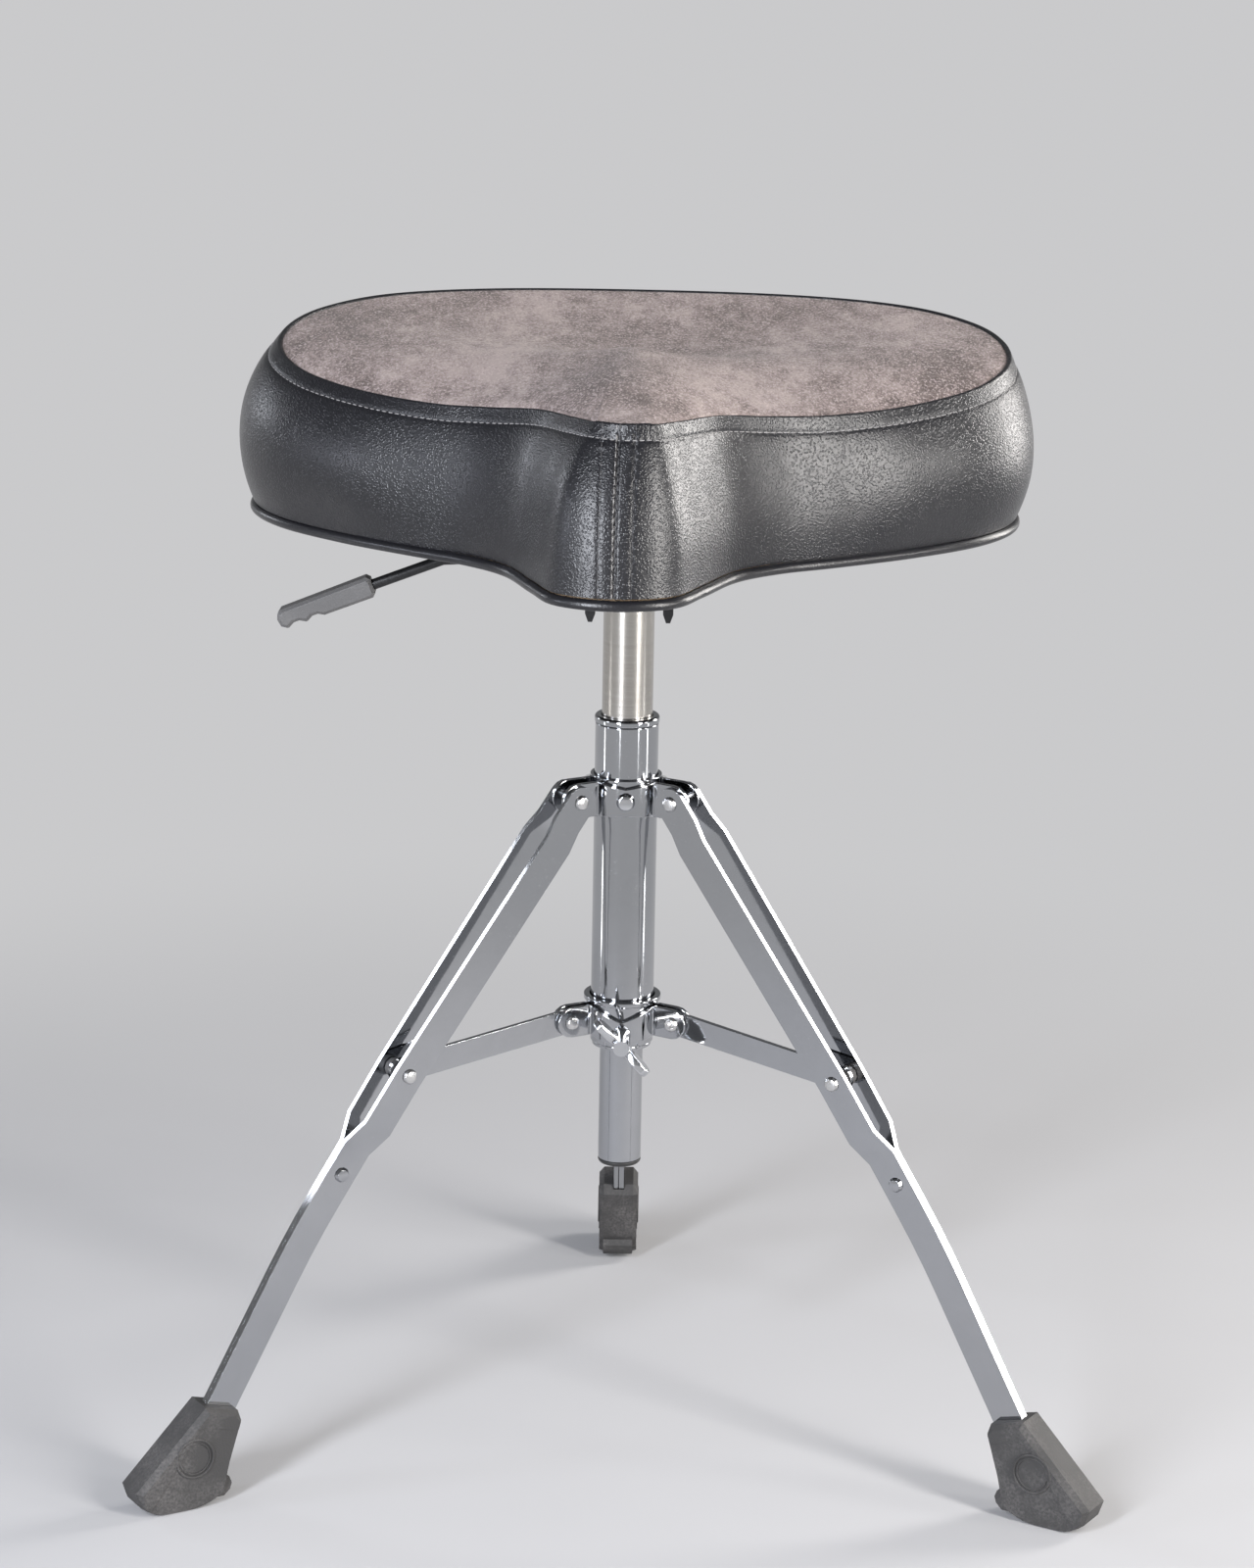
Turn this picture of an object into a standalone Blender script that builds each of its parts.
"""Saddle drum throne on a folding tripod with a gas lift, as separate sub-parts.

The column stands on the Z axis of the empty "throne". The nose of the saddle points along -Y, one leg points
straight back along +Y and the other two stand 60 degrees to either side of the nose. The floor is at Z = 0.
"""

import math

import bmesh
import bpy
from mathutils import Matrix, Vector

# ---------------------------------------------------------------- sizes, in metres and degrees

FIT = 0.0003  # gap between pieces that touch
CHAMFER = 0.001  # small chamfer on turned edges
THROUGH = 0.030  # length of a drill that goes right through a sheet

# Tripod: a leg is two flat straps, hinged on the upper collar and riveted together above the foot
HINGE_RADIUS = 0.0335
LEG_UPPER_LENGTH = 0.1761  # hinge to stay pivot
LEG_MIDDLE_LENGTH = 0.1039  # stay pivot to the bend
LEG_LOWER_LENGTH = 0.1036  # bend to the mouth of the foot
LEG_UPPER_LEAN = 36.8  # from the vertical
LEG_MIDDLE_LEAN = 34.65
LEG_LOWER_LEAN = 29.5
BEND_SPAN = 0.048  # the straps curve over this length
BEND_STEPS = 3
STRAP_WIDTH = 0.0174
STRAP_THICKNESS = 0.003
STRAP_SPREAD_TOP = 0.0120  # middle of a strap from the leg's middle plane, below the upper joggle
STRAP_SPREAD_LOW = 0.0097  # the same above the lower joggle
UPPER_JOGGLE = (0.0148, 0.0270)  # start and end, from the hinge along the strap
LOWER_JOGGLE = (0.0330, 0.0480)  # start and end, from the stay pivot along the strap
STRAP_RIVET_DISTANCE = 0.0647  # stay pivot to the rivet that joins the straps
STRAP_IN_FOOT = 0.028

# Stays between the lower collar and the legs
STAY_SLOPE = 7.2  # rise from the leg to the collar
STAY_WIDTH = 0.0136
STAY_THICKNESS = 0.003
STAY_BUSH_RADIUS = 0.0056
STAY_BUSH_SIDE_GAP = 0.0007
COLLAR_PIVOT_RADIUS = 0.034

# Rivets and screws
RIVET_RADIUS = 0.0026
RIVET_HEAD_RADIUS = 0.0043
RIVET_HEAD_HEIGHT = 0.0022
SCREW_RADIUS = 0.0025
SCREW_HEAD_RADIUS = 0.0052
SCREW_HEAD_HEIGHT = 0.0030
SCREW_GRIP = 0.0012  # how far the screw goes into the bush

# Collars
PLATE_THICKNESS = 0.0025
UPPER_EAR_GAP = 0.009  # free space between the two ears of a leg
UPPER_BUSH_RADIUS = 0.0198
UPPER_BUSH_ABOVE = 0.0110
UPPER_BUSH_BELOW = 0.0080
UPPER_EAR_RADIUS = 0.0098
UPPER_PLATE_ABOVE = 0.0070
UPPER_PLATE_BELOW = 0.0085
LOWER_BUSH_RADIUS = 0.0200
LOWER_BUSH_FLANGE_RADIUS = 0.0215
LOWER_BUSH_FLANGE_HEIGHT = 0.0030
LOWER_BUSH_BELOW = 0.0105
LOWER_EAR_RADIUS = 0.0086
LOWER_PLATE_ABOVE = 0.0010
LOWER_PLATE_BELOW = 0.0135
SLIDING_GAP = 0.0006  # lower collar on the column tube

# Wing bolt on the lower collar
BOLT_RADIUS = 0.0030
BOLT_HUB_RADIUS = 0.0052
BOLT_HUB_LENGTH = 0.0230
BOLT_HUB_CLEARANCE = 0.0010
BOLT_BELOW_PIVOTS = 0.0062
WING_SPAN = 0.0425
WING_DEPTH = 0.0115
WING_ROOT = 0.0098  # width of the wings' narrow middle
WING_CORNER = 0.0035
WING_THICKNESS = 0.0032
WING_TILT = -46.0

# Column and gas lift
TUBE_RADIUS = 0.0175
TUBE_WALL = 0.00175
TUBE_ABOVE_HINGES = 0.040
TUBE_BELOW_COLLAR = 0.0046  # column tube under the lower collar
STUB_RADIUS = 0.0120
STUB_WALL = 0.0020
STUB_LENGTH = 0.0696  # below the column tube
STUB_SOCKET = 0.034  # inside the column tube
STUB_FLOOR = 0.004
STUB_SHOULDER = 0.003  # thickness of the shoulder under the column tube
END_CAP_DEPTH = 0.010
END_CAP_LIP = 0.0025
GUIDE_FLANGE_RADIUS = 0.0180
GUIDE_FLANGE_HEIGHT = 0.004
GUIDE_DEPTH = 0.030
GAS_TUBE_RADIUS = 0.0140
GAS_TUBE_BORE = 0.0110
GAS_TUBE_FLOOR = 0.005
GAS_TUBE_TAPER = 0.0004
VALVE_BLOCK = 0.050  # solid top of the gas tube
PISTON_ROD_RADIUS = 0.0050
PISTON_LENGTH = 0.010
PISTON_GAP = 0.0004
ROD_HEAD_RADIUS = 0.0075
ROD_HEAD_HEIGHT = 0.003
BEARING_RADIUS = 0.0092
BEARING_HEIGHT = 0.005
LIFT_STROKE = 0.065
LIFT_BUFFER = 0.004
BUTTON_RADIUS = 0.004
BUTTON_HEIGHT = 0.0032
BUTTON_STEM_RADIUS = 0.0025
BUTTON_STEM_LENGTH = 0.008
BUTTON_TRAVEL = 0.0025

# Seat mount under the board: a plate with two long ribs, a taper socket and four bolt bosses
MOUNT_WIDTH = 0.110
MOUNT_LENGTH = 0.190
MOUNT_THICKNESS = 0.0025
MOUNT_CORNER = 0.016
MOUNT_FORWARD = 0.010  # middle of the plate, ahead of the column
RIB_ASIDE = 0.0205  # middle of a rib from the middle plane
RIB_THICKNESS = 0.0054
RIB_DEPTH = 0.028  # board to the underside of the ribs
RIB_FRONT = 0.102  # ends of the ribs from the column
RIB_REAR = 0.080
RIB_TAPER = 0.0015  # how far the ribs' ends are cut back at the bottom
RIB_KEEL_HEIGHT = 0.0046  # the bottom of a rib narrows over this height
RIB_KEEL_WIDTH = 0.0022
WEB_ASIDE = 0.0125  # middle of a cross web from the column axis
WEB_THICKNESS = 0.004
WEB_DEPTH = 0.022
ARM_THICKNESS = 0.003
ARM_DEPTH = 0.011
SOCKET_WALL = 0.0045
SOCKET_BELOW_RIBS = 0.006
SOCKET_BELOW_TUBE_TOP = 0.0015
MOUNT_BOLT_RADIUS = 0.003
MOUNT_BOLT_HEAD_RADIUS = 0.0058
MOUNT_BOLT_HEAD_HEIGHT = 0.0045
MOUNT_BOLT_INSET = 0.014
MOUNT_BOLT_IN_BOARD = 0.009
MOUNT_BOSS_RADIUS = 0.0095
MOUNT_BOSS_HEIGHT = 0.003

# Height lever
LEVER_RADIUS = 0.003
LEVER_PIVOT = 0.030  # from the column axis
LEVER_PIVOT_DROP = 0.014  # below the board
LEVER_BEND = 0.102
LEVER_BEND_DROP = 0.0184
LEVER_SLOPE = 21.1
LEVER_ROD_TIP = 0.040  # rod inside the grip
LEVER_ROD_SLOPED = 0.0405  # sloped rod before the grip
LEVER_PIN_RADIUS = 0.002
LEVER_PIN_LENGTH = 0.016
LEVER_CLEVIS_HALF_GAP = 0.0036
LEVER_CLEVIS_THICKNESS = 0.002
LEVER_CLEVIS_RADIUS = 0.005
LEVER_SLOT_CLEARANCE = 0.0022
LEVER_SLOT_RISE = 0.0031  # middle of the slot above the pivot
GRIP_LENGTH = 0.056
GRIP_HEIGHT = 0.012
GRIP_WIDTH = 0.012
GRIP_NOSE = 0.004  # how far the outer end is cut back at its corners
GRIP_BEVEL = 0.0022
SCALLOP_RADIUS = 0.007
SCALLOP_DEPTH = 0.002
SCALLOP_GAP = 0.001
SCALLOP_STEPS = 3

# Feet. Reaches run outwards from the middle of the mouth, heights run up from the floor.
FOOT_MOUTH_HEIGHT = 0.0523
FOOT_MOUTH_OUTER = (0.0113, 0.0047)  # from the middle of the mouth: out and up
FOOT_MOUTH_INNER = (-0.0077, -0.0001)
FOOT_CUFF = (-0.0097, -0.0063)  # lower corner of the cuff round the mouth
FOOT_THICKNESS = 0.024
FOOT_TOE_REACH = 0.0530
FOOT_TOE_HEIGHT = 0.0148
FOOT_TOE_UNDER = (0.0500, 0.0060)
FOOT_SOLE_START = 0.022
FOOT_SOLE_LENGTH = 0.014
FOOT_HEEL = (0.0012, 0.0072)
FOOT_WAIST = (-0.0025, 0.0235)
FOOT_OUTER_BEVEL = 0.0030
FOOT_INNER_BEVEL = 0.0012
FOOT_PANEL_DEPTH = 0.0005  # sunk side panels
FOOT_PANEL_TOP = 0.0095  # below the rim of the mouth
FOOT_PANEL_ASIDE = 0.0045  # from the outer edge
FOOT_PANEL_TOE = 0.0050  # back from the toe, at the floor
FOOT_HEEL_LUG = 0.0070  # the nub at the heel: its size, and its outline as shares of it
FOOT_HEEL_LUG_SHAPE = ((1.0, -0.5), (-0.1, -0.5), (-0.6, 0.0), (-0.75, 0.5), (-0.55, 1.0), (1.0, 1.4))
FOOT_HEEL_LUG_WIDTH = 0.018
CURVE_STEPS = 4

# Seat. Each row is one point of the right half of the saddle, from the nose round to the back: x and y at the
# piping, how far the seam of the top lies inside it, how far the side swells, and the height of the seam.
SADDLE = (
    (0.000, -0.192, 0.022, 0.006, 0.090),
    (0.029, -0.182, 0.020, 0.006, 0.090),
    (0.043, -0.155, 0.015, 0.006, 0.088),
    (0.059, -0.119, 0.011, 0.006, 0.085),
    (0.082, -0.095, 0.008, 0.007, 0.081),
    (0.112, -0.076, 0.006, 0.009, 0.079),
    (0.152, -0.048, 0.005, 0.011, 0.080),
    (0.188, -0.014, 0.005, 0.012, 0.084),
    (0.207, 0.024, 0.005, 0.012, 0.090),
    (0.207, 0.066, 0.005, 0.012, 0.096),
    (0.190, 0.108, 0.005, 0.011, 0.100),
    (0.152, 0.144, 0.005, 0.010, 0.103),
    (0.088, 0.168, 0.005, 0.009, 0.104),
    (0.000, 0.176, 0.005, 0.008, 0.104),
)
SADDLE_MIDDLE_Y = 0.010
SADDLE_DISH_HEIGHT = 0.089
SADDLE_PUFF = 0.006
SADDLE_SWELLS = (  # soft swellings of the top: middle x, y, spread and height
    (0.0, -0.093, 0.038, 0.006),
    (-0.078, -0.050, 0.035, -0.004),
    (0.078, -0.050, 0.035, -0.004),
)
SADDLE_STEPS = 2  # steps between two points of the outline
SEAT_TURN = -2.4  # the saddle is bolted on slightly skew
BOARD_THICKNESS = 0.012
PIPING_RADIUS = 0.0030
PIPING_BELOW_BOARD = 0.0012  # the cord hangs a little under the board
BAND_THICKNESS = 0.0016
TOP_THICKNESS = 0.0020
FOAM_EASE = 0.0008  # the foam is cut a little smaller than its cover
DUST_COVER_THICKNESS = 0.001
DUST_COVER_INSET = 0.008

ROUND = 24  # facets round a tube
SMALL_ROUND = 10  # facets round a rivet
CORD_ROUND = 6  # facets round the piping

LEGS = {"left": 210.0, "right": 330.0, "rear": 90.0}
PLATES = {"front": 270.0, "left": 150.0, "right": 30.0}

# ---------------------------------------------------------------- places that follow from the sizes


def run_and_drop(length, lean):
    """How far out and how far down a straight piece of a leg goes."""
    angle = math.radians(lean)
    return length * math.sin(angle), length * math.cos(angle)


def leg_sections():
    """Length and lean of each straight piece of a leg, from the hinge down. The last one has no end."""
    sections = [(LEG_UPPER_LENGTH, LEG_UPPER_LEAN), (LEG_MIDDLE_LENGTH - BEND_SPAN / 2, LEG_MIDDLE_LEAN)]
    for step in range(BEND_STEPS):
        share = (step + 0.5) / BEND_STEPS
        lean = LEG_MIDDLE_LEAN + share * (LEG_LOWER_LEAN - LEG_MIDDLE_LEAN)
        sections.append((BEND_SPAN / BEND_STEPS, lean))
    sections.append((math.inf, LEG_LOWER_LEAN))
    return sections


def leg_place(distance):
    """Where a leg's middle line is at a distance from the hinge: x out, z up, and its lean."""
    x = z = 0.0
    left = distance
    for length, lean in leg_sections():
        run, drop = run_and_drop(min(left, length), lean)
        x += run
        z -= drop
        left -= length
        if left <= 0:
            break
    return x, z, lean


BEND_START = LEG_UPPER_LENGTH + LEG_MIDDLE_LENGTH - BEND_SPAN / 2
MOUTH_DISTANCE = LEG_UPPER_LENGTH + LEG_MIDDLE_LENGTH + LEG_LOWER_LENGTH
LEG_RUN, LEG_RISE, _ = leg_place(MOUTH_DISTANCE)
UPPER_RUN, UPPER_DROP = run_and_drop(LEG_UPPER_LENGTH, LEG_UPPER_LEAN)

HINGE_HEIGHT = FOOT_MOUTH_HEIGHT - LEG_RISE
MOUTH_RADIUS = HINGE_RADIUS + LEG_RUN
STAY_PIVOT_RADIUS = HINGE_RADIUS + UPPER_RUN
STAY_PIVOT_HEIGHT = HINGE_HEIGHT - UPPER_DROP
STAY_LENGTH = (STAY_PIVOT_RADIUS - COLLAR_PIVOT_RADIUS) / math.cos(math.radians(STAY_SLOPE))
STAY_RISE = STAY_LENGTH * math.sin(math.radians(STAY_SLOPE))
COLLAR_HEIGHT = STAY_PIVOT_HEIGHT + STAY_RISE

UPPER_EAR_ASIDE = UPPER_EAR_GAP / 2 + PLATE_THICKNESS / 2
LOWER_EAR_ASIDE = STAY_THICKNESS / 2 + FIT + PLATE_THICKNESS / 2
STRAP_TOP_ASIDE = UPPER_EAR_GAP / 2 + PLATE_THICKNESS + FIT + STRAP_THICKNESS / 2
STRAP_DOUBLED_ASIDE = STRAP_THICKNESS / 2 + FIT / 2
LOWER_JOGGLE_START = LEG_UPPER_LENGTH + LOWER_JOGGLE[0]
LOWER_JOGGLE_END = LEG_UPPER_LENGTH + LOWER_JOGGLE[1]
STRAP_LENGTH = MOUTH_DISTANCE + STRAP_IN_FOOT
STRAP_RIVET_PLACE = LEG_UPPER_LENGTH + STRAP_RIVET_DISTANCE

TUBE_TOP = HINGE_HEIGHT + TUBE_ABOVE_HINGES
TUBE_BOTTOM = COLLAR_HEIGHT - LOWER_BUSH_BELOW - TUBE_BELOW_COLLAR
TUBE_BORE = TUBE_RADIUS - TUBE_WALL
STUB_BOTTOM = TUBE_BOTTOM - STUB_LENGTH
STUB_TOP = TUBE_BOTTOM + STUB_SOCKET
GUIDE_TOP = TUBE_TOP + FIT + GUIDE_FLANGE_HEIGHT
SOCKET_BOTTOM = GUIDE_TOP + LIFT_BUFFER + LIFT_STROKE
SEAT_BASE = SOCKET_BOTTOM + SOCKET_BELOW_RIBS + RIB_DEPTH

UNDER_BOARD = 2 * FIT + DUST_COVER_THICKNESS
LEVER_SEAT_DROP = UNDER_BOARD + MOUNT_THICKNESS + LEVER_RADIUS + BUTTON_TRAVEL / 2
GAS_TUBE_TOP_DROP = LEVER_SEAT_DROP + LEVER_RADIUS + FIT + BUTTON_HEIGHT
GAS_TUBE_TOP = SEAT_BASE - GAS_TUBE_TOP_DROP
GAS_TUBE_BOTTOM = STUB_TOP + LIFT_BUFFER + LIFT_STROKE


# ---------------------------------------------------------------- materials


def material(name, colour, roughness, metallic=0.0):
    made = bpy.data.materials.new(name)
    made.use_nodes = True
    shader = made.node_tree.nodes["Principled BSDF"]
    shader.inputs["Base Color"].default_value = (*colour, 1.0)
    shader.inputs["Roughness"].default_value = roughness
    shader.inputs["Metallic"].default_value = metallic
    made.diffuse_color = (*colour, 1.0)
    return made


# ---------------------------------------------------------------- mesh helpers


def finish(bm):
    """Outward normals, and a mesh from the bmesh."""
    bmesh.ops.remove_doubles(bm, verts=bm.verts, dist=1e-7)
    bmesh.ops.recalc_face_normals(bm, faces=bm.faces)
    mesh = bpy.data.meshes.new("mesh")
    bm.to_mesh(mesh)
    bm.free()
    return mesh


def extruded(outline, depth):
    """A flat outline in X and Z, thickened along Y about its own plane."""
    bm = bmesh.new()
    corners = [bm.verts.new((x, -depth / 2, z)) for x, z in outline]
    face = bm.faces.new(corners)
    grown = bmesh.ops.extrude_face_region(bm, geom=[face])
    moved = [item for item in grown["geom"] if isinstance(item, bmesh.types.BMVert)]
    bmesh.ops.translate(bm, verts=moved, vec=(0, depth, 0))
    return finish(bm)


def turned(profile, facets=ROUND):
    """A closed profile of (radius, height), spun about Z."""
    bm = bmesh.new()
    ring = [bm.verts.new((radius, 0, height)) for radius, height in profile]
    edges = [bm.edges.new(pair) for pair in zip(ring, ring[1:] + ring[:1])]
    bmesh.ops.spin(
        bm, geom=ring + edges, axis=(0, 0, 1), cent=(0, 0, 0), angle=math.tau, steps=facets, use_merge=True
    )
    bmesh.ops.remove_doubles(bm, verts=bm.verts, dist=1e-7)
    on_axis = [edge for edge in bm.edges if not edge.link_faces]
    bmesh.ops.delete(bm, geom=on_axis, context="EDGES")
    return finish(bm)


def skinned(rings, closed_tube=False):
    """Walls between rings of points. The first and last ring are capped, or joined in a closed tube."""
    bm = bmesh.new()
    loops = [[bm.verts.new(point) for point in ring] for ring in rings]
    pairs = list(zip(loops, loops[1:]))
    if closed_tube:
        pairs.append((loops[-1], loops[0]))
    else:
        bm.faces.new(loops[0])
        bm.faces.new(loops[-1])
    for low, high in pairs:
        count = len(low)
        for i in range(count):
            j = (i + 1) % count
            bm.faces.new((low[i], low[j], high[j], high[i]))
    return finish(bm)


def box(size, middle=(0, 0, 0)):
    bm = bmesh.new()
    bmesh.ops.create_cube(bm, size=1.0)
    bmesh.ops.scale(bm, vec=size, verts=bm.verts)
    bmesh.ops.translate(bm, vec=middle, verts=bm.verts)
    return finish(bm)


def cylinder(radius, length, middle=(0, 0, 0), axis="Z", facets=SMALL_ROUND):
    bm = bmesh.new()
    turn = {"X": Matrix.Rotation(math.pi / 2, 4, "Y"), "Y": Matrix.Rotation(math.pi / 2, 4, "X")}
    way = turn.get(axis, Matrix())
    bmesh.ops.create_cone(
        bm, cap_ends=True, segments=facets, radius1=radius, radius2=radius, depth=length, matrix=way
    )
    bmesh.ops.translate(bm, vec=middle, verts=bm.verts)
    return finish(bm)


def turned_along_y(profile, facets=SMALL_ROUND):
    mesh = turned(profile, facets)
    mesh.transform(Matrix.Rotation(-math.pi / 2, 4, "X"))
    return mesh


def combined(base, parts, operation):
    """The base mesh with the other meshes cut out of it, or joined to it, by Boolean modifiers."""
    target = bpy.data.objects.new("target", base)
    bpy.context.scene.collection.objects.link(target)
    helpers = []
    for part in parts:
        helper = bpy.data.objects.new("helper", part)
        helper.hide_render = True
        helper.display_type = "WIRE"
        bpy.context.scene.collection.objects.link(helper)
        helpers.append(helper)
        boolean = target.modifiers.new("boolean", "BOOLEAN")
        boolean.operation = operation
        boolean.object = helper
    bpy.context.view_layer.update()
    evaluated = target.evaluated_get(bpy.context.evaluated_depsgraph_get())
    bm = bmesh.new()
    bm.from_mesh(evaluated.data)
    for item in [target, *helpers]:
        bpy.data.objects.remove(item)
    return finish(bm)


def cut(base, *cutters):
    return combined(base, cutters, "DIFFERENCE")


def joined(base, *parts):
    return combined(base, parts, "UNION")


def rounded_edges(mesh, width):
    """The sharp edges of a mesh, cut back to narrow flats."""
    bm = bmesh.new()
    bm.from_mesh(mesh)
    sharp = [edge for edge in bm.edges if edge.is_manifold and edge.calc_face_angle() > math.radians(50)]
    bmesh.ops.bevel(bm, geom=sharp, offset=width, segments=1, affect="EDGES", clamp_overlap=True)
    return finish(bm)


# ---------------------------------------------------------------- objects and frames


def empty(name, parent=None, location=(0, 0, 0), turn_z=0.0):
    made = bpy.data.objects.new(name, None)
    bpy.context.scene.collection.objects.link(made)
    made.parent = parent
    made.location = location
    made.rotation_euler = (0, 0, math.radians(turn_z))
    return made


def part(name, mesh, look, parent, location=(0, 0, 0), rotation=(0, 0, 0)):
    made = bpy.data.objects.new(name, mesh)
    mesh.materials.clear()
    mesh.materials.append(look)
    mesh.shade_smooth()
    mesh.set_sharp_from_angle(angle=math.radians(35))
    bpy.context.scene.collection.objects.link(made)
    made.parent = parent
    made.location = location
    made.rotation_euler = rotation
    return made


# ---------------------------------------------------------------- legs


def leg_point(distance, across, aside):
    """A point of a leg: along its middle line, across its width and beside its middle plane."""
    x, z, lean = leg_place(distance)
    angle = math.radians(lean)
    return Vector((x + across * math.cos(angle), aside, z + across * math.sin(angle)))


def side_offsets(path, thickness):
    """The two sides of a strip whose middle runs through (distance, aside) points, mitred at its bends."""
    normals = []
    for (d0, a0), (d1, a1) in zip(path, path[1:]):
        length = math.hypot(d1 - d0, a1 - a0)
        normals.append(Vector((-(a1 - a0) / length, (d1 - d0) / length)))
    sides = []
    for i, (distance, aside) in enumerate(path):
        before = normals[max(i - 1, 0)]
        after = normals[min(i, len(normals) - 1)]
        middle = (before + after).normalized()
        shift = middle * (thickness / 2 / middle.dot(before))
        sides.append(((distance - shift.x, aside - shift.y), (distance + shift.x, aside + shift.y)))
    return sides


def spread_at(distance):
    """Half the distance between the straps' middles between the two joggles."""
    share = (distance - UPPER_JOGGLE[1]) / (LOWER_JOGGLE_START - UPPER_JOGGLE[1])
    return STRAP_SPREAD_TOP + share * (STRAP_SPREAD_LOW - STRAP_SPREAD_TOP)


def strap_mesh(side):
    """One strap of a leg, from the round end at the hinge to the square end in the foot. Side is 1 or -1."""
    half = STRAP_WIDTH / 2
    stations = []
    for step in range(5):
        angle = math.pi / 2 * (1 - step / 4)
        reach = half * math.sin(angle)
        stations.append((-reach, STRAP_TOP_ASIDE, max(half * math.cos(angle), half * 0.15)))
    for distance, aside in (
        (UPPER_JOGGLE[0], STRAP_TOP_ASIDE),
        (UPPER_JOGGLE[1], STRAP_SPREAD_TOP),
        (LEG_UPPER_LENGTH, spread_at(LEG_UPPER_LENGTH)),
        (LOWER_JOGGLE_START, STRAP_SPREAD_LOW),
        (LOWER_JOGGLE_END, STRAP_DOUBLED_ASIDE),
    ):
        stations.append((distance, aside, half))
    for step in range(BEND_STEPS + 1):
        stations.append((BEND_START + step * BEND_SPAN / BEND_STEPS, STRAP_DOUBLED_ASIDE, half))
    stations.append((STRAP_LENGTH, STRAP_DOUBLED_ASIDE, half))
    sides = side_offsets([(distance, aside) for distance, aside, _ in stations], STRAP_THICKNESS)
    rings = []
    for ((near_d, near_a), (far_d, far_a)), (_, _, width) in zip(sides, stations):
        rings.append(
            (
                leg_point(near_d, -width, side * near_a),
                leg_point(near_d, width, side * near_a),
                leg_point(far_d, width, side * far_a),
                leg_point(far_d, -width, side * far_a),
            )
        )
    mesh = skinned(rings)
    drill = RIVET_RADIUS + FIT
    deep = 4 * STRAP_SPREAD_TOP
    holes = [cylinder(drill, deep, leg_point(place, 0, 0), "Y") for place in (0.0, LEG_UPPER_LENGTH)]
    if side > 0:
        holes.append(cylinder(drill, deep, leg_point(STRAP_RIVET_PLACE, 0, 0), "Y"))
        return cut(mesh, *holes)
    mesh = cut(mesh, *holes)
    stack = 2 * STRAP_DOUBLED_ASIDE + STRAP_THICKNESS
    rivet = rivet_mesh(stack)
    rivet.transform(Matrix.Translation(leg_point(STRAP_RIVET_PLACE, 0, 0)))
    return joined(mesh, rivet)


def dome(radius, height, base, upward=1):
    """The outer points of a domed head, from its rim to its middle."""
    return [(radius, base), (radius * 0.75, base + upward * height * 0.75), (0.0, base + upward * height)]


def rivet_mesh(stack, head_gap=FIT):
    """A rivet along Y that holds a stack of this thickness between two domed heads."""
    under = stack / 2 + head_gap
    top = dome(RIVET_HEAD_RADIUS, RIVET_HEAD_HEIGHT, under)
    bottom = dome(RIVET_HEAD_RADIUS, RIVET_HEAD_HEIGHT, -under, -1)[::-1]
    return turned_along_y([*bottom, (RIVET_RADIUS, -under), (RIVET_RADIUS, under), *top])


def stay_rivet_mesh(side):
    """The half of a stay's rivet that stays in one strap: its head, and its shank up to the inner face."""
    middle = spread_at(LEG_UPPER_LENGTH)
    inner = middle - STRAP_THICKNESS / 2
    outer = middle + STRAP_THICKNESS / 2 + FIT
    head = dome(RIVET_HEAD_RADIUS, RIVET_HEAD_HEIGHT, outer)
    mesh = turned_along_y([(0.0, inner), (RIVET_RADIUS, inner), (RIVET_RADIUS, outer), *head])
    mesh.transform(Matrix.Diagonal((1, side, 1, 1)))
    if side < 0:
        mesh.flip_normals()
    return mesh


def curve(start, bend, end):
    """Points of a curve that leaves its start towards the bend and reaches its end from there."""
    points = []
    for step in range(1, CURVE_STEPS):
        t = step / CURVE_STEPS
        shares = ((1 - t) ** 2, 2 * t * (1 - t), t**2)
        places = [Vector(point) * share for point, share in zip((start, bend, end), shares)]
        points.append(tuple(places[0] + places[1] + places[2]))
    return points


def inset_outline(outline, insets):
    """An outline whose corners are moved inwards, each by its own inset. It runs clockwise in X and Z."""
    moved = []
    count = len(outline)
    for i, inset in enumerate(insets):
        here = Vector(outline[i])
        before = (here - Vector(outline[i - 1])).normalized()
        after = (Vector(outline[(i + 1) % count]) - here).normalized()
        middle = (before + after).normalized()
        inward = Vector((middle.y, -middle.x)) / middle.dot(before)
        moved.append(tuple(here + inward * inset))
    return moved


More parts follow.
